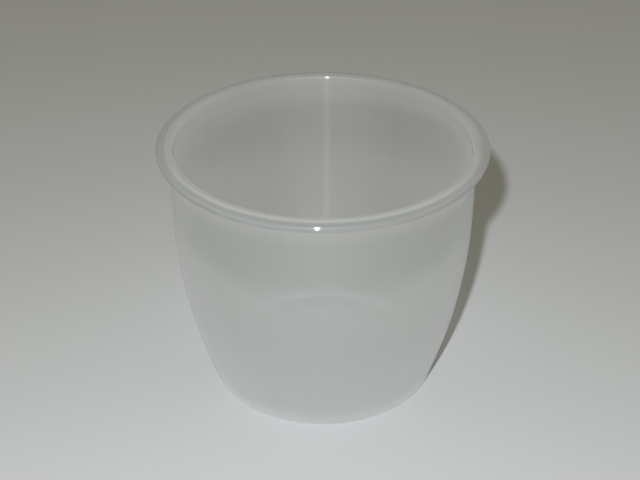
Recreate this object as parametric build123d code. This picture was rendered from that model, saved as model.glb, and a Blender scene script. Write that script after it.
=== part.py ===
from build123d import *
import math
import os

# Plain translucent sample cup: one injection-moulded shell of natural
# polypropylene, open at the top, with a flared rim and a flat recessed base.
#
# Frame: +Z up along the cup's axis, origin at the centre of the face that the
# cup stands on. Millimetres. The cup is a solid of revolution, and every
# profile point is (radius, height).

# ------------------------------------------------------------- driving sizes
# rim
rim_radius = 37.5            # outer edge of the lip
cup_height = 60.2            # standing face to the top of the lip
lip_crown_width = 2.2        # radial run of the crowned outer part of the lip
lip_crown_drop = 0.5         # how far that crown falls towards the outer edge
lip_under_width = 1.15       # radial run of the rounded lower outer edge
lip_under_rise = 1.45        # height of the rounded lower outer edge
lip_root_fillet = 0.8        # concave fillet between the wall and the lip
mouth_edge_radius = 0.35     # rounded inner edge of the mouth

# Side wall, outside: (height, radius). A barrel curve that closes in towards
# the base and stands almost upright under the lip.
wall_stations = [
    (4.0, 27.72),
    (9.0, 29.24),
    (16.0, 31.13),
    (26.0, 33.03),
    (36.0, 34.20),
    (46.0, 34.57),
]
wall_top_radius = 34.66      # outer radius where the lip's root fillet starts
wall_foot_lean = 17.2        # degrees from upright at the foot of the wall
wall_thickness_foot = 1.10   # thickest at the foot
wall_thickness_top = 0.90    # thins upwards, so that the cup draws off its core

# base
floor_level = 1.6            # inside floor above the standing face
base_corner_radius = 1.0     # outside, base to wall
floor_corner_radius = 1.8    # inside, floor to wall
stand_ring_inner = 22.6      # inner radius of the ring that the cup stands on
recess_depth = 0.5           # underside inside that ring
recess_bevel = 0.5           # radial run of the recess's sloped edge
gate_radius = 1.4            # gate pad at the middle of the recess
gate_height = 0.3            # less than the recess depth, so it clears the table
gate_bevel = 0.15            # radial run of the pad's sloped edge

# ------------------------------------------------------------- derived sizes
foot_height, foot_radius = wall_stations[0]
lean = math.radians(wall_foot_lean)
lean_cos, lean_sin, lean_tan = math.cos(lean), math.sin(lean), math.tan(lean)

lip_edge_height = cup_height - lip_crown_drop           # widest circle
lip_under_height = lip_edge_height - lip_under_rise     # flat underside
wall_top_height = lip_under_height - lip_root_fillet    # top of the plain wall
lip_root_radius = wall_top_radius + lip_root_fillet     # outer end of the fillet
lip_under_radius = rim_radius - lip_under_width         # underside meets rounding
lip_crown_radius = rim_radius - lip_crown_width         # flat top meets crown
gate_face_height = recess_depth - gate_height


# ------------------------------------------------------------- profile points
def corner_arc(wall_radius, level, radius):
    """Start, middle and end of the arc from a floor at this level to the
    leaning wall whose radius is wall_radius at foot_height."""
    end_height = level + radius * (1 - lean_sin)
    end_radius = wall_radius - (foot_height - end_height) * lean_tan
    centre_radius = end_radius - radius * lean_cos
    middle_angle = math.radians((90 + wall_foot_lean) / 2)
    middle = (
        centre_radius + radius * math.cos(middle_angle),
        level + radius * (1 - math.sin(middle_angle)),
    )
    return (centre_radius, level), middle, (end_radius, end_height)


def quarter_arc(centre_radius, centre_height, radius):
    """Start, middle and end of the quarter circle from the axis side of its
    centre to the top of it."""
    diagonal = radius * math.cos(math.pi / 4)
    return (
        (centre_radius - radius, centre_height),
        (centre_radius - diagonal, centre_height + diagonal),
        (centre_radius, centre_height + radius),
    )


def wall_thickness(height):
    """Straight taper from the foot of the wall to its top."""
    part = (height - foot_height) / (wall_top_height - foot_height)
    return wall_thickness_foot + (wall_thickness_top - wall_thickness_foot) * part


def outer_wall_points():
    """The stations as (radius, height), closed by the top of the wall."""
    points = [(radius, height) for height, radius in wall_stations]
    return points + [(wall_top_radius, wall_top_height)]


def inner_wall_points(outer):
    """Outer points moved inwards, each at its own height, so that the
    thickness is measured square to the sloping wall."""
    slopes = [lean_tan]
    for below, above in zip(outer, outer[2:]):
        slopes.append((above[0] - below[0]) / (above[1] - below[1]))
    slopes.append(0.0)
    return [
        (radius - wall_thickness(height) * math.hypot(1.0, slope), height)
        for (radius, height), slope in zip(outer, slopes)
    ]


# ------------------------------------------------------------- the cup
def build_cup():
    """Half section revolved about the axis."""
    outer = outer_wall_points()
    inner = inner_wall_points(outer)
    base_arc = corner_arc(foot_radius, 0.0, base_corner_radius)
    floor_arc = corner_arc(inner[0][0], floor_level, floor_corner_radius)
    root_arc = quarter_arc(lip_root_radius, wall_top_height, lip_root_fillet)
    mouth_arc = quarter_arc(
        inner[-1][0] + mouth_edge_radius, cup_height - mouth_edge_radius, mouth_edge_radius
    )

    with BuildPart() as cup:
        with BuildSketch(Plane.XZ):
            with BuildLine():
                # underside from the axis: gate pad, recess, standing ring
                Polyline(
                    (0, gate_face_height),
                    (gate_radius - gate_bevel, gate_face_height),
                    (gate_radius, recess_depth),
                    (stand_ring_inner - recess_bevel, recess_depth),
                    (stand_ring_inner, 0),
                    base_arc[0],
                )
                # outside of the wall
                ThreePointArc(*base_arc)
                Line(base_arc[-1], outer[0])
                Spline(outer, tangents=[(lean_sin, lean_cos), (0, 1)])
                # lip: root fillet, underside, rounded edge, crowned top
                ThreePointArc(*root_arc)
                Line(root_arc[-1], (lip_under_radius, lip_under_height))
                EllipticalCenterArc(
                    (lip_under_radius, lip_edge_height),
                    lip_under_width,
                    lip_under_rise,
                    start_angle=270,
                    arc_size=90,
                )
                EllipticalCenterArc(
                    (lip_crown_radius, lip_edge_height),
                    lip_crown_width,
                    lip_crown_drop,
                    start_angle=0,
                    arc_size=90,
                )
                Line((lip_crown_radius, cup_height), mouth_arc[-1])
                # inside: mouth edge, wall, floor corner, floor
                ThreePointArc(*reversed(mouth_arc))
                Line(mouth_arc[0], inner[-1])
                Spline(inner[::-1], tangents=[(0, -1), (-lean_sin, -lean_cos)])
                Line(inner[0], floor_arc[-1])
                ThreePointArc(*reversed(floor_arc))
                Polyline(floor_arc[0], (0, floor_level), (0, gate_face_height))
            make_face()
        revolve(axis=Axis.Z, revolution_arc=360)
    return cup.part


cup_body = build_cup()
cup_body.label = "cup_body"

os.makedirs("parts", exist_ok=True)
export_step(cup_body, "parts/cup_body.step")
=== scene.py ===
"""A milky plastic cup shell, turned as one closed section, on a pale floor under a small lamp.

The cup stands upright on z = 0 with its axis on Z and its mouth up. The camera and the lamp
are on the -Y side and look down at it. Section lengths are in mm; the scene is in metres.
"""
import math
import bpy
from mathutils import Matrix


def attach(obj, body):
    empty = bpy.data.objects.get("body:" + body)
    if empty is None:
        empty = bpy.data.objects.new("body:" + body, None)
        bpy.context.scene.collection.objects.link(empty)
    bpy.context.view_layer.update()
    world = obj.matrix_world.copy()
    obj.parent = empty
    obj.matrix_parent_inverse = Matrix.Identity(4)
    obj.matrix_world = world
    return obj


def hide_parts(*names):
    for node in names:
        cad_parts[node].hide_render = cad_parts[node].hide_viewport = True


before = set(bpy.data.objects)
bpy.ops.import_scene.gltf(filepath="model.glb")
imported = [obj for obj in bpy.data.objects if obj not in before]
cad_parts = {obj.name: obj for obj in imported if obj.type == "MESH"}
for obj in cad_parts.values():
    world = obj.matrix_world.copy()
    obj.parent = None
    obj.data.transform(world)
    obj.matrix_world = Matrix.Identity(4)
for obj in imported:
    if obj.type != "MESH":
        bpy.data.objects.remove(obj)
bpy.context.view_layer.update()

from types import SimpleNamespace as Group

import bpy
from mathutils import Vector

# ---------------------------------------------------------------- section sizes, mm
RIM_R, HEIGHT = 37.5, 60.2
CROWN_W, CROWN_D = 2.2, 0.5  # rounding of the lip's top
UNDER_W, UNDER_H = 1.15, 1.45  # rounding of the lip's underside
ROOT_R, MOUTH_R = 0.8, 0.35  # fillet under the lip, rounding of the mouth
# Outside of the wall: (height, radius)
STATIONS = [
    (4.0, 27.72), (9.0, 29.24), (16.0, 31.13),
    (26.0, 33.03), (36.0, 34.20), (46.0, 34.57),
]
WALL_TOP_R = 34.66
LEAN_DEG = 17.2  # the wall's lean from upright at its foot
THICK_FOOT, THICK_TOP = 1.10, 0.90
FLOOR_Z, BASE_R, FLOOR_R = 1.6, 1.0, 1.8  # inside floor; corner radii outside and inside
RING_IN, RECESS, RECESS_BEVEL = 22.6, 0.5, 0.5  # standing ring and the recess within it
GATE_R, GATE_H, GATE_BEVEL = 1.4, 0.3, 0.15  # round boss in the middle of the recess
AROUND = 256  # lathe segments
WALL_STEPS = 64
THICK_MAX = 4.0  # cap on the measured local thickness
THICK_BLUR = 0.25

LEAN = math.radians(LEAN_DEG)
LEAN_SLOPE = math.tan(LEAN)
FOOT_Z, FOOT_R = STATIONS[0]
EDGE_Z = HEIGHT - CROWN_D
UNDER_Z = EDGE_Z - UNDER_H
TOP_Z = UNDER_Z - ROOT_R

# ---------------------------------------------------------------- look of the plastic
INDEX_SQUARED = 1.039  # sets how fast the path through the wall grows at a slant
# Scatter depth: at the cup's top and foot, per mm of local thickness, and extra by place
DEPTH = Group(top=0.476, foot=1.507, per_mm=0.05, crest=0.5, lip=0.44, ring=1.0)
# Scattered light: level and tint lit from the front and lit through, through-lit share,
# front-lit roughness, and the cap on any colour
SCATTER = Group(
    front=0.507, front_tint=(0.98, 1.0, 1.01),
    through=0.98, through_tint=(0.99, 1.0, 1.0),
    through_share=0.814, roughness=1.0, cap=0.98,
)
CLEAR_TINT = (1.0, 1.0, 0.99, 1)  # of what is seen straight through
# Change of the scattered level by place, with painted light and shade: the lip, the band below
# it and the shade under its near edge are darkened, the near crest line and the foot are
# lifted
LEVEL = Group(slant=0.42, slant_power=2.0, near_lip=0.03, lip=-0.245, crest=0.436,
              foot=0.43, ring=0.9, waist=0.235, brow=0.30)
# Extra front-lit share by place; on the near rim's crest and shelf it is painted light
FRONT_SHARE = Group(slant=0.65, slant_power=4.0, crest=0.226, shelf=0.204, ring=0.65)
HAZE = Group(share=0.15, roughness=0.35, index=1.15)  # blurred part of the see-through light
SHARP = Group(level=1.0, roughness=0.075, index=1.49)  # sharp gloss
BROAD = Group(level=0.211, roughness=0.578)  # broad sheen
STREAK = Group(level=0.006, roughness=0.42, stretch=0.9)  # upright streak, inside faces only
# Polished edges: slope of each facet above level, gloss cut there, pull of the normal to it
OUT_EDGE = Group(slope=math.radians(34.0), cut=0.93)
IN_EDGE = Group(slope=math.radians(27.3), cut=0.972)
FACET_PULL = 0.985
LAMP_LOSS = 1.6  # loss of lamp light per unit of wall, in the wall's shadow

# Masks as (position, level) points. Position is the height as a share of HEIGHT.
BY_HEIGHT = {
    "rim": [(0.0, 0), (0.945, 0), (0.965, 1), (1.0, 1)],
    "lip": [(0.0, 0), (0.968, 0), (0.988, 1), (1.0, 1)],
    "ring": [(0.0, 1), (0.045, 1), (0.07, 0), (1.0, 0)],
    "waist": [(0.0, 0), (0.58, 0), (0.79, 1), (0.87, 1), (0.95, 0.1), (1.0, 0)],
    "brow": [(0.0, 0), (0.966, 0), (0.974, 1), (0.990, 1), (0.995, 0), (1.0, 0)],
    "foot": [(0.0, 1), (0.03, 1), (0.10, 0.35), (0.45, 0), (1.0, 0)],
    "side": [(0.0, 0), (0.035, 0), (0.075, 1), (0.94, 1), (0.965, 0)],
    "flat": [(0.0, 1), (0.027, 1), (0.03, 0), (1.0, 0)],
    "worn": [(0.0, 1), (0.012, 0.6), (0.03, 0), (0.955, 0), (0.985, 0.5), (1.0, 0.8)],
    "edge_out": [(0.0, 0), (0.978, 0), (0.984, 1), (1.0, 1)],
    "edge_in": [(0.0, 0), (0.983, 0), (0.987, 1), (1.0, 1)],
}
# Position runs outwards over the rim, from RIM_FROM to RIM_R.
RIM_FROM = 33.0
BY_RIM = {
    "crest": [(0.0, 0), (0.33, 0), (0.48, 1), (0.56, 1), (0.74, 0), (1.0, 0)],
    "lip": [(0.0, 0), (0.46, 0), (0.62, 1), (1.0, 1)],
    "shelf": [(0.0, 0), (0.48, 0), (0.62, 1), (0.84, 1), (0.94, 0), (1.0, 0)],
    "brow": [(0.0, 0), (0.84, 0), (0.94, 1), (1.0, 1)],
    "edge_out": [(0.0, 0), (0.87, 0), (0.92, 1), (1.0, 1)],
}
# Position runs from 0 facing away from the viewer to 1 facing the viewer, round the cup.
NEAR = [(0.0, 0), (0.46, 0), (0.86, 1), (1.0, 1)]
# Ring at the edge of the inside floor: position runs outwards from `start` over `width`.
FLOOR_RING = Group(start=22.5, width=5.0, points=[
    (0.0, 0), (0.25, 0), (0.42, 1), (0.60, 1), (0.80, 0), (1.0, 0)])
# Gate blush: position runs outwards from the axis to `radius`.
BLUSH = Group(radius=6.0, points=[(0.0, 1), (0.30, 0.8), (1.0, 0)])

WRAP_R = 34.0  # radius that round-the-cup noise is laid on
TURNED_PITCH = 0.55  # spacing of the turned mould marks
# What each kind of mark adds: to the depth as a share, to roughness, to relief in metres
MOTTLE = dict(cloud=0.30, flow=0.15, draw=0.10, grain=0.10, blush=0.5, scuff=0.25)
ROUGHNESS = dict(grain=0.10, peel=0.04, scuff=0.16, cloud=0.05)
RELIEF = dict(peel=0.000016, flow=0.000020, draw=0.000003,
              grain=0.0000016, turned=0.0000012, scuff=-0.0000025)

# ---------------------------------------------------------------- stage sizes, metres
FLOOR_DISC_R, FLOOR_DROP = 4.0, 0.00002
FLOOR_COLOUR = (0.55, 0.55, 0.55, 1)
KEY_AT, KEY_TO, KEY_SIZE = (-0.0182, -0.2798, 0.2411), (0, 0, 0.02), 0.01
KEY_TINT = (0.90, 0.95, 1.0)
KEY_FLOOR_POWER, KEY_CUP_POWER = 1.271, 0.708
ROOM_COLOUR, ROOM_LIGHT = (1.0, 0.962, 0.765, 1), 0.285
BACKDROP = (0.1560, 0.1500, 0.1190, 1)  # the unlit floor's tone, so that no horizon line shows
CAMERA_AT = (0.0, -0.2757, 0.2045)
CAMERA_DOWN = 31.74  # degrees below level
SENSOR_MM, LENS_MM, LENS_SHIFT = 36.0, 77.664375, -0.004484375
CLIP_START = 0.01


# ---------------------------------------------------------------- section
def corner(wall_r, level, radius):
    """Centre of a fillet between the leaning wall's foot line and a flat at `level`."""
    drop = FOOT_Z - level - radius * (1 - math.sin(LEAN))
    return wall_r - radius * math.cos(LEAN) - drop * LEAN_SLOPE, level + radius


def arc(centre, half_width, half_height, start, end, steps):
    """Points on an ellipse between two angles in degrees."""
    points = []
    for i in range(steps + 1):
        angle = math.radians(start + (end - start) * i / steps)
        points.append((centre[0] + half_width * math.cos(angle),
                       centre[1] + half_height * math.sin(angle)))
    return points


def line(start, end, steps):
    return [
        tuple(a + (b - a) * i / steps for a, b in zip(start, end))
        for i in range(steps + 1)
    ]


def spline(points, start, end):
    """Cubic through (radius, height) points with given end slopes dr/dz: returns r(z)."""
    rs, zs = zip(*points)
    last = len(zs) - 1
    gaps = [zs[i + 1] - zs[i] for i in range(last)]
    slopes = [(rs[i + 1] - rs[i]) / gaps[i] for i in range(last)]
    # Tridiagonal system for the second derivatives
    below = [0.0] + gaps
    above = gaps + [0.0]
    middle = [2 * gaps[0]]
    target = [6 * (slopes[0] - start)]
    for i in range(1, last):
        middle.append(2 * (gaps[i - 1] + gaps[i]))
        target.append(6 * (slopes[i] - slopes[i - 1]))
    middle.append(2 * gaps[-1])
    target.append(6 * (end - slopes[-1]))
    for i in range(1, last + 1):
        factor = below[i] / middle[i - 1]
        middle[i] -= factor * above[i - 1]
        target[i] -= factor * target[i - 1]
    bend = [0.0] * (last + 1)
    bend[last] = target[last] / middle[last]
    for i in range(last - 1, -1, -1):
        bend[i] = (target[i] - above[i] * bend[i + 1]) / middle[i]

    def radius_at(z):
        i = max(0, min(last - 1, sum(1 for knot in zs[1:-1] if z >= knot)))
        to_next, from_knot, gap = zs[i + 1] - z, z - zs[i], gaps[i]
        return (
            bend[i] * to_next**3 / (6 * gap)
            + bend[i + 1] * from_knot**3 / (6 * gap)
            + (rs[i] / gap - bend[i] * gap / 6) * to_next
            + (rs[i + 1] / gap - bend[i + 1] * gap / 6) * from_knot
        )

    return radius_at


def offset_inwards(outer):
    """Inside points of the wall, set in along the radius to give its square thickness."""
    inner = []
    for i, (r, z) in enumerate(outer):
        if i == 0:
            slope = LEAN_SLOPE
        elif i == len(outer) - 1:
            slope = 0.0
        else:
            (r0, z0), (r1, z1) = outer[i - 1], outer[i + 1]
            slope = (r1 - r0) / (z1 - z0)
        share = (THICK_TOP - THICK_FOOT) * (z - FOOT_Z) / (TOP_Z - FOOT_Z)
        inner.append((r - (THICK_FOOT + share) * math.hypot(1.0, slope), z))
    return inner


def wall(curve, start_z, end_z):
    return [(curve(z), z) for _, z in line((0, start_z), (0, end_z), WALL_STEPS)]


def build_profile():
    """Section from the axis under the base, up the outside, down the inside to the axis."""
    outer = [(r, z) for z, r in STATIONS] + [(WALL_TOP_R, TOP_Z)]
    inner = offset_inwards(outer)
    inner_foot_r, mouth_r = inner[0][0], inner[-1][0]
    points = []

    def add(new_points):
        for point in new_points:
            if not points or math.dist(point, points[-1]) > 1e-4:
                points.append(point)

    # underside
    gate_z = RECESS - GATE_H
    add(line((0, gate_z), (GATE_R - GATE_BEVEL, gate_z), 3))
    add(line((GATE_R - GATE_BEVEL, gate_z), (GATE_R, RECESS), 2))
    add(line((GATE_R, RECESS), (RING_IN - RECESS_BEVEL, RECESS), 16))
    add(line((RING_IN - RECESS_BEVEL, RECESS), (RING_IN, 0), 2))
    base = corner(FOOT_R, 0.0, BASE_R)
    add(line((RING_IN, 0), (base[0], 0), 3))
    add(arc(base, BASE_R, BASE_R, -90, -LEAN_DEG, 10))
    # outside wall
    add(line(points[-1], (FOOT_R, FOOT_Z), 4))
    add(wall(spline(outer, LEAN_SLOPE, 0.0), FOOT_Z, TOP_Z))
    # lip
    add(arc((WALL_TOP_R + ROOT_R, TOP_Z), ROOT_R, ROOT_R, 180, 90, 8))
    add(line((WALL_TOP_R + ROOT_R, UNDER_Z), (RIM_R - UNDER_W, UNDER_Z), 2))
    add(arc((RIM_R - UNDER_W, EDGE_Z), UNDER_W, UNDER_H, -90, 0, 14))
    add(arc((RIM_R - CROWN_W, EDGE_Z), CROWN_W, CROWN_D, 0, 90, 18))
    add(line((RIM_R - CROWN_W, HEIGHT), (mouth_r + MOUTH_R, HEIGHT), 4))
    add(arc((mouth_r + MOUTH_R, HEIGHT - MOUTH_R), MOUTH_R, MOUTH_R, 90, 180, 8))
    # inside wall and floor
    add(line((mouth_r, HEIGHT - MOUTH_R), (mouth_r, TOP_Z), 4))
    add(wall(spline(inner, LEAN_SLOPE, 0.0), TOP_Z, FOOT_Z))
    floor_corner = corner(inner_foot_r, FLOOR_Z, FLOOR_R)
    floor_arc = arc(floor_corner, FLOOR_R, FLOOR_R, -LEAN_DEG, -90, 12)
    add(line((inner_foot_r, FOOT_Z), floor_arc[0], 2))
    add(floor_arc)
    add(line((floor_corner[0], FLOOR_Z), (0, FLOOR_Z), 18))
    return points


def local_thickness(points):
    """Plastic behind each point, along a line cast square into the section.

    Thick places, such as the rim and the base corner, scatter more light.
    """
    last = len(points) - 1
    found = []
    for i, (r, z) in enumerate(points):
        before, after = points[max(i - 1, 0)], points[min(i + 1, last)]
        dr, dz = after[0] - before[0], after[1] - before[1]
        length = math.hypot(dr, dz)
        cast_r, cast_z = -dz / length, dr / length  # left of travel, into the plastic
        best = THICK_MAX
        for j in range(last):
            if abs(j - i) < 2 or abs(j + 1 - i) < 2:
                continue
            (r0, z0), (r1, z1) = points[j], points[j + 1]
            edge_r, edge_z = r1 - r0, z1 - z0
            cross = cast_z * edge_r - cast_r * edge_z
            if abs(cross) < 1e-12:
                continue
            reach = ((z0 - z) * edge_r - (r0 - r) * edge_z) / cross
            along = (cast_r * (z0 - z) - cast_z * (r0 - r)) / cross
            if reach > 1e-3 and -1e-6 <= along <= 1 + 1e-6:
                best = min(best, reach)
        found.append(best)
    return found


def blur_along(points, values, reach):
    """Gaussian blur by distance along the section, so that thickness changes softly."""
    travel = [0.0]
    for start, end in zip(points, points[1:]):
        travel.append(travel[-1] + math.dist(start, end))
    last = len(travel) - 1
    widths = [
        (travel[min(i + 1, last)] - travel[max(i - 1, 0)]) / 2 + 1e-6
        for i in range(last + 1)
    ]
    blurred = []
    for here in travel:
        total = weight_sum = 0.0
        for there, width, value in zip(travel, widths, values):
            distance = abs(here - there) / reach
            if distance < 3.5:
                weight = math.exp(-0.5 * distance * distance) * width
                total += weight * value
                weight_sum += weight
        blurred.append(total / weight_sum)
    return blurred


# ---------------------------------------------------------------- lathe
def lathe(name, points):
    """Turn the section about Z. Returns the mesh and the vertex numbers of each ring."""
    verts, faces, rings = [], [], []
    for r, z in points:
        if r < 1e-6:
            rings.append([len(verts)])
            verts.append((0.0, 0.0, z / 1000))
            continue
        rings.append(list(range(len(verts), len(verts) + AROUND)))
        for k in range(AROUND):
            angle = 2 * math.pi * k / AROUND
            verts.append((r * math.cos(angle) / 1000, r * math.sin(angle) / 1000, z / 1000))
    for p, q in zip(rings, rings[1:]):
        for k in range(AROUND):
            j = (k + 1) % AROUND
            if len(p) == 1:
                faces.append((p[0], q[j], q[k]))
            elif len(q) == 1:
                faces.append((p[k], p[j], q[0]))
            else:
                faces.append((p[k], p[j], q[j], q[k]))
    mesh = bpy.data.meshes.new(name)
    mesh.from_pydata(verts, [], faces)
    mesh.validate()
    mesh.shade_smooth()
    return mesh, rings


def build_cup():
    profile = build_profile()
    mesh, rings = lathe("cup_shell", profile)
    thickness = blur_along(profile, local_thickness(profile), THICK_BLUR)
    last_on_top = max(i for i, (r, z) in enumerate(profile) if z == HEIGHT)
    wall_mm = mesh.attributes.new("wall_mm", "FLOAT", "POINT")
    inside_face = mesh.attributes.new("inside_face", "FLOAT", "POINT")
    for i, (ring, value) in enumerate(zip(rings, thickness)):
        for v in ring:
            wall_mm.data[v].value = value
            inside_face.data[v].value = 1.0 if i > last_on_top else 0.0
    cup = bpy.data.objects.new("cup_shell", mesh)
    bpy.context.scene.collection.objects.link(cup)
    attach(cup, "root")
    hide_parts("cup_body")
    return cup


# ---------------------------------------------------------------- shader helpers
class Field:
    """A node's output. Arithmetic on it adds one Math node per operation."""

    def __init__(self, node, output=0):
        self.socket = node.outputs[output]

    def calc(self, operation, *values):
        inputs = dict(enumerate(values))
        return Field(add_node(self.socket.id_data, "Math", inputs, operation=operation))

    def clamped(self):
        """Clamp the Math node behind this value to 0..1."""
        self.socket.node.use_clamp = True
        return self

    def __add__(self, other):
        return self.calc("ADD", self, other)

    def __radd__(self, other):
        return self.calc("ADD", other, self)

    def __sub__(self, other):
        return self.calc("SUBTRACT", self, other)

    def __rsub__(self, other):
        return self.calc("SUBTRACT", other, self)

    def __mul__(self, other):
        return self.calc("MULTIPLY", self, other)

    def __truediv__(self, other):
        return self.calc("DIVIDE", self, other)

    def __pow__(self, other):
        return self.calc("POWER", self, other)

    def __gt__(self, other):
        return self.calc("GREATER_THAN", self, other)

    def __abs__(self):
        return self.calc("ABSOLUTE", self)

    def apply(self, operation):
        return self.calc(operation, self)


def add_node(tree, kind, inputs=None, **settings):
    """New node; each input is linked if given a Field, and set otherwise."""
    node = tree.nodes.new(f"ShaderNode{kind}")
    for name, value in settings.items():
        setattr(node, name, value)
    for key, value in (inputs or {}).items():
        if isinstance(value, Field):
            tree.links.new(value.socket, node.inputs[key])
        else:
            node.inputs[key].default_value = value
    return node


def shader(tree, kind, **inputs):
    return Field(add_node(tree, kind, inputs))


def mix_shaders(tree, share, base, over):
    return Field(add_node(tree, "MixShader", {0: share, 1: base, 2: over}))


def vector_math(tree, operation, inputs, output=0):
    return Field(add_node(tree, "VectorMath", inputs, operation=operation), output)


def attribute(tree, name):
    return Field(add_node(tree, "Attribute", attribute_name=name), "Fac")


def ramp(value, points):
    """A smooth mask: value in, level out, through the given (position, level) points."""
    node = add_node(value.socket.id_data, "ValToRGB", {0: value})
    node.color_ramp.interpolation = "EASE"
    stops = node.color_ramp.elements
    while len(stops) < len(points):
        stops.new(0.5)
    for stop, (position, level) in zip(stops, points):
        stop.position = position
        stop.color = (level, level, level, 1)
    return Field(node, "Color")


def stretched(vector, scale):
    inputs = {"Scale": scale, "Vector": vector}
    return Field(add_node(vector.socket.id_data, "Mapping", inputs))


def noise(vector, scale, detail=2.0, roughness=0.5):
    """Noise centred on zero, about -0.5 to 0.5; scale is per metre."""
    inputs = {"Scale": scale, "Detail": detail, "Roughness": roughness, "Vector": vector}
    return Field(add_node(vector.socket.id_data, "TexNoise", inputs), "Fac") - 0.5


def weighted(weights, **fields):
    """Sum of the named fields, each times its weight."""
    total = None
    for name, weight in weights.items():
        part = fields[name] * weight
        total = part if total is None else total + part
    return total


def new_tree(owner):
    owner.use_nodes = True
    owner.node_tree.nodes.clear()
    return owner.node_tree


# ---------------------------------------------------------------- cup material
def cup_places(tree):
    """Position fields and place masks, each mask 1 in its place and 0 elsewhere."""
    at = Group()
    at.facing = Field(add_node(tree, "LayerWeight", {"Blend": 0.5}), "Facing")
    cosine = 1.0 - at.facing
    sine_squared = 1.0 - cosine * cosine
    at.inside_cosine = (1.0 - sine_squared / INDEX_SQUARED).apply("SQRT")

    at.object = Field(add_node(tree, "TexCoord"), "Object")
    split = add_node(tree, "SeparateXYZ", {0: at.object})
    at.x, at.y, at.z = (Field(split, axis) for axis in range(3))
    at.radius = (at.x * at.x + at.y * at.y).apply("SQRT")
    height = (at.z / (HEIGHT / 1000)).clamped()
    over_rim = ((at.radius - RIM_FROM / 1000) / ((RIM_R - RIM_FROM) / 1000)).clamped()

    def by_height(name):
        return ramp(height, BY_HEIGHT[name])

    def by_rim(name):
        return ramp(over_rim, BY_RIM[name])

    # how far a place faces the viewer round the cup
    incoming = Field(add_node(tree, "NewGeometry"), "Incoming")
    outward = {0: at.x / at.radius, 1: at.y / at.radius}
    at.outward = Field(add_node(tree, "CombineXYZ", outward))
    toward = vector_math(tree, "DOT_PRODUCT", {0: incoming, 1: at.outward}, output="Value")
    at.near = ramp((toward * 0.5 + 0.5).clamped(), NEAR)

    at.height = height
    at.within = attribute(tree, "inside_face")
    rim = by_height("rim")
    at.plain = 1.0 - rim
    # near side of the rim: a painted highlight as a bright line over the wall's own thickness,
    # partly standing for the look down the wall's length, and painted light on the shelf
    # outside it
    at.crest = rim * by_rim("crest") * at.near
    at.shelf = rim * at.near * by_rim("shelf")
    at.lip = by_height("lip") * by_rim("lip")
    at.brow = by_height("brow") * at.near * by_rim("brow")  # painted shade under the lip's edge, on the side that faces the viewer
    # ring at the edge of the inside floor
    over_ring = (at.radius - FLOOR_RING.start / 1000) / (FLOOR_RING.width / 1000)
    ring = ramp(over_ring.clamped(), FLOOR_RING.points)
    at.ring = ring * at.within * by_height("ring")
    at.waist = by_height("waist") * (1.0 - at.within)  # painted shade: a darker outside band below the lip, for the rim's shadow inside the cup seen through the wall
    at.foot = by_height("foot")
    at.side = by_height("side")
    at.flat = by_height("flat")
    at.worn = by_height("worn")  # rim's top, its outer edge and the standing ring
    at.edge_out = by_height("edge_out") * by_rim("edge_out")
    at.edge_in = by_height("edge_in") * at.within

    at.wall = (attribute(tree, "wall_mm") - 1.0) * DEPTH.per_mm + 1.0
    geometry = add_node(tree, "NewGeometry")
    at.front = 1.0 - Field(geometry, "Backfacing")
    return at


def cup_marks(tree, at):
    """Noise and wear fields."""
    turn = at.y.calc("ARCTAN2", at.y, at.x)
    around = Field(add_node(tree, "CombineXYZ", {
        0: turn.apply("COSINE") * (WRAP_R / 1000),
        1: turn.apply("SINE") * (WRAP_R / 1000),
        2: at.z,
    }))
    marks = Group()
    # slow clouding of the melt, about 18 mm
    marks.cloud = noise(at.object, scale=55.0)
    # flow marks and fine draw marks up the wall
    marks.flow = noise(stretched(around, scale=(1, 1, 0.10)), scale=420.0)
    marks.draw = noise(stretched(around, scale=(1, 1, 0.02)), scale=2600.0, detail=1.0)
    # slight waviness, about 1.4 mm, and satin grain, about 0.2 mm
    marks.peel = noise(at.object, scale=700.0, detail=1.0)
    marks.grain = noise(at.object, scale=5200.0, roughness=0.6)
    # turned mould marks on the base
    turned = (at.radius * (2 * math.pi / (TURNED_PITCH / 1000))).apply("SINE")
    marks.turned = turned * at.flat

    def scratches(stretch, scale, threshold):
        field = noise(stretched(at.object, stretch), scale, detail=3.0, roughness=0.7)
        return abs(field) > threshold

    across_x = scratches(stretch=(1.0, 0.12, 0.5), scale=1500.0, threshold=0.17)
    across_y = scratches(stretch=(0.15, 1.0, 0.4), scale=1300.0, threshold=0.18)
    marks.scuff = across_x.calc("MAXIMUM", across_x, across_y) * at.worn
    # gate blush: a slightly milkier spot in the middle of the base
    from_axis = (at.radius / (BLUSH.radius / 1000)).clamped()
    marks.blush = ramp(from_axis, BLUSH.points) * at.flat
    return marks


def cup_relief(tree, at, marks):
    height = weighted(
        RELIEF, peel=marks.peel, flow=marks.flow * at.side, draw=marks.draw * at.side,
        grain=marks.grain, turned=marks.turned, scuff=marks.scuff,
    )
    return shader(tree, "Bump", Strength=1.0, Distance=1.0, Height=height)


def see_through(tree, at, marks):
    """Share of light that passes straight through the wall."""
    density = at.height * (DEPTH.top - DEPTH.foot) + DEPTH.foot
    # Painted highlight: the extra depth on the near crest makes its line milkier and brighter.
    depth = (at.wall * density + at.crest * DEPTH.crest
             + at.lip * DEPTH.lip + at.ring * DEPTH.ring)
    mottle = 1.0 + weighted(
        MOTTLE, cloud=marks.cloud, flow=marks.flow, draw=marks.draw * at.side,
        grain=marks.grain, blush=marks.blush, scuff=marks.scuff,
    )
    return (depth * mottle / at.inside_cosine * -1.0).apply("EXPONENT")


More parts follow.
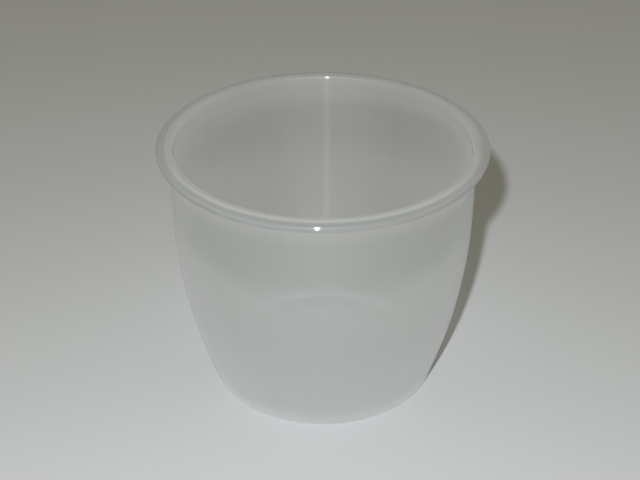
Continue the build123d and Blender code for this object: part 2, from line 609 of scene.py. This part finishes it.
def milky_body(tree, at, marks, relief):
    """Scattered light, lit from the front and through, mixed with the see-through light."""
    gain = 1.0 + at.facing**LEVEL.slant_power * at.plain * LEVEL.slant
    # Painted shade: the lip is darkened all round, for the darker room its rounded edge bends
    # into view, with a slight painted lift on the side that faces the viewer.
    gain *= 1.0 + at.lip * at.near * LEVEL.near_lip
    gain *= 1.0 + at.lip * LEVEL.lip
    # Painted highlight: the bright line along the crest of the near rim.
    gain *= 1.0 + at.crest * LEVEL.crest
    # Painted light: lighter towards the foot, for light from the bright floor.
    gain *= 1.0 + at.foot * LEVEL.foot
    gain *= 1.0 + at.ring * LEVEL.ring
    # Painted shade: the band below the lip, for the rim's shadow inside the cup.
    gain *= 1.0 - at.waist * LEVEL.waist
    # Painted shade under the lip's edge on the near side.
    gain *= 1.0 - at.brow * LEVEL.brow

    def tinted(level, tint):
        channels = {}
        for i in range(3):
            channel = gain * (level * tint[i])
            channels[i] = channel.calc("MINIMUM", channel, SCATTER.cap)
        return Field(add_node(tree, "CombineColor", channels))

    front_lit = shader(
        tree, "BsdfDiffuse", Color=tinted(SCATTER.front, SCATTER.front_tint),
        Roughness=SCATTER.roughness, Normal=relief,
    )
    through_lit = shader(
        tree, "BsdfTranslucent", Color=tinted(SCATTER.through, SCATTER.through_tint),
    )
    # On the near rim's crest and shelf the extra front-lit share is painted light.
    extra_front = (
        at.facing**FRONT_SHARE.slant_power * at.plain * FRONT_SHARE.slant
        + at.crest * FRONT_SHARE.crest
        + at.shelf * FRONT_SHARE.shelf
        + at.ring * FRONT_SHARE.ring
    )
    through_share = SCATTER.through_share - extra_front
    scatter = mix_shaders(tree, through_share, base=front_lit, over=through_lit)
    clean = shader(tree, "BsdfTransparent", Color=CLEAR_TINT)
    haze = shader(
        tree, "BsdfRefraction", IOR=HAZE.index, Roughness=HAZE.roughness,
        Color=CLEAR_TINT, Normal=relief,
    )
    clear = mix_shaders(tree, HAZE.share, base=clean, over=haze)
    return mix_shaders(tree, see_through(tree, at, marks), base=scatter, over=clear)


def facet_normal(tree, at, relief):
    """Surface normal that leans to a set slope on the polished edges.

    The lip's outer edge and the mouth's edge are rounded by little, and each reads
    as one narrow polished facet.
    """
    polished = (at.edge_out + at.edge_in).clamped()
    sideways = (at.edge_out * math.cos(OUT_EDGE.slope)
                - at.edge_in * math.cos(IN_EDGE.slope))
    upward = (at.edge_out * math.sin(OUT_EDGE.slope)
              + at.edge_in * math.sin(IN_EDGE.slope))
    lean = vector_math(tree, "SCALE", {0: at.outward, "Scale": sideways})
    rise = Field(add_node(tree, "CombineXYZ", {2: upward}))
    facet = vector_math(tree, "ADD", {0: lean, 1: rise})
    # a vector Mix node has its vectors at inputs 4 and 5, and its result at output 1
    pull = {0: polished * FACET_PULL, 4: relief, 5: facet}
    blend = Field(add_node(tree, "Mix", pull, data_type="VECTOR"), 1)
    return vector_math(tree, "NORMALIZE", {0: blend})


def add_gloss(tree, at, marks, relief, body):
    """Broad sheen, sharp gloss and an upright streak, laid over the body in turn."""

    def rough(base):
        extra = weighted(ROUGHNESS, grain=marks.grain, peel=marks.peel,
                         scuff=marks.scuff, cloud=marks.cloud)
        return (base + extra).clamped()

    sheen = shader(tree, "BsdfGlossy", Roughness=rough(BROAD.roughness), Normal=relief)
    soft = mix_shaders(tree, at.front * BROAD.level, base=body, over=sheen)

    sharp = shader(tree, "BsdfGlossy", Roughness=rough(SHARP.roughness),
                   Normal=facet_normal(tree, at, relief))
    share = shader(tree, "Fresnel", IOR=SHARP.index) * SHARP.level * at.front
    share *= 1.0 - (at.edge_out * OUT_EDGE.cut + at.edge_in * IN_EDGE.cut)
    top = mix_shaders(tree, share, base=soft, over=sharp)

    # Turned marks round the mould draw a lamp's reflection out into an upright streak.
    tangent = Field(add_node(tree, "Tangent", direction_type="RADIAL", axis="Z"))
    streak = shader(tree, "BsdfAnisotropic", Roughness=STREAK.roughness,
                    Anisotropy=STREAK.stretch, Tangent=tangent)
    return mix_shaders(tree, at.front * at.within * STREAK.level, base=top, over=streak)


def cup_material():
    material = bpy.data.materials.new("milky_polypropylene")
    tree = new_tree(material)
    at = cup_places(tree)
    marks = cup_marks(tree, at)
    relief = cup_relief(tree, at, marks)
    body = milky_body(tree, at, marks, relief)
    seen = add_gloss(tree, at, marks, relief, body)
    # What a lamp sees: a plain see-through wall, so that light reaches both faces of it.
    leak = (at.wall / at.inside_cosine * -LAMP_LOSS).apply("EXPONENT")
    tone = Field(add_node(tree, "CombineColor", {0: leak, 1: leak, 2: leak}))
    shadow = shader(tree, "BsdfTransparent", Color=tone)
    is_shadow = Field(add_node(tree, "LightPath"), "Is Shadow Ray")
    final = mix_shaders(tree, is_shadow, base=seen, over=shadow)
    add_node(tree, "OutputMaterial", {"Surface": final})
    return material


# ---------------------------------------------------------------- stage
def build_floor():
    bpy.ops.mesh.primitive_circle_add(
        vertices=96, radius=FLOOR_DISC_R, fill_type="NGON", location=(0, 0, -FLOOR_DROP))
    floor = bpy.context.object
    floor.name = "floor"
    material = bpy.data.materials.new("pale_floor")
    tree = new_tree(material)
    surface = shader(tree, "BsdfDiffuse", Color=FLOOR_COLOUR)
    add_node(tree, "OutputMaterial", {"Surface": surface})
    floor.data.materials.append(material)
    return floor


def build_key(name, power, **linked):
    """Disc lamp; `linked` limits what it lights (receiver) and what blocks it (blocker)."""
    light = bpy.data.lights.new(name, "AREA")
    light.shape = "DISK"
    light.size = KEY_SIZE
    light.energy = power
    light.color = KEY_TINT
    lamp = bpy.data.objects.new(name, light)
    bpy.context.scene.collection.objects.link(lamp)
    lamp.location = KEY_AT
    aim = Vector(KEY_TO) - Vector(KEY_AT)
    lamp.rotation_euler = aim.to_track_quat("-Z", "Y").to_euler()
    for role, member in linked.items():
        kind = f"{role}_collection"
        collection = bpy.data.collections.new(f"{name}_{kind}")
        collection.objects.link(member)
        setattr(lamp.light_linking, kind, collection)


def build_world():
    world = bpy.data.worlds.new("studio")
    bpy.context.scene.world = world
    tree = new_tree(world)
    room = shader(tree, "Background", Color=ROOM_COLOUR, Strength=ROOM_LIGHT)
    backdrop = shader(tree, "Background", Color=BACKDROP)
    is_camera = Field(add_node(tree, "LightPath"), "Is Camera Ray")
    surface = mix_shaders(tree, is_camera, base=room, over=backdrop)
    add_node(tree, "OutputWorld", {"Surface": surface})


def build_camera():
    lens = bpy.data.cameras.new("camera")
    camera = bpy.data.objects.new("camera", lens)
    bpy.context.scene.collection.objects.link(camera)
    camera.location = CAMERA_AT
    camera.rotation_euler = (math.radians(90 - CAMERA_DOWN), 0, 0)
    lens.sensor_width = SENSOR_MM
    lens.lens = LENS_MM
    lens.shift_x = LENS_SHIFT
    lens.clip_start = CLIP_START
    bpy.context.scene.camera = camera


cup = build_cup()
cup.data.materials.append(cup_material())
floor = build_floor()
# Light that enters the milky wall leaves it in every direction, so it lights the
# plastic from both sides but is lost from the straight shadow on the floor. Two
# lamps in the same place stand for that: one for the floor, which the cup blocks,
# and one for the cup, which passes through its own walls.
build_key("key_floor", KEY_FLOOR_POWER, receiver=floor)
build_key("key_cup", KEY_CUP_POWER, receiver=cup, blocker=floor)
build_world()
build_camera()

view = bpy.context.scene.view_settings
view.view_transform = "Standard"
view.look = "None"
view.exposure = 0.0
view.gamma = 1.0
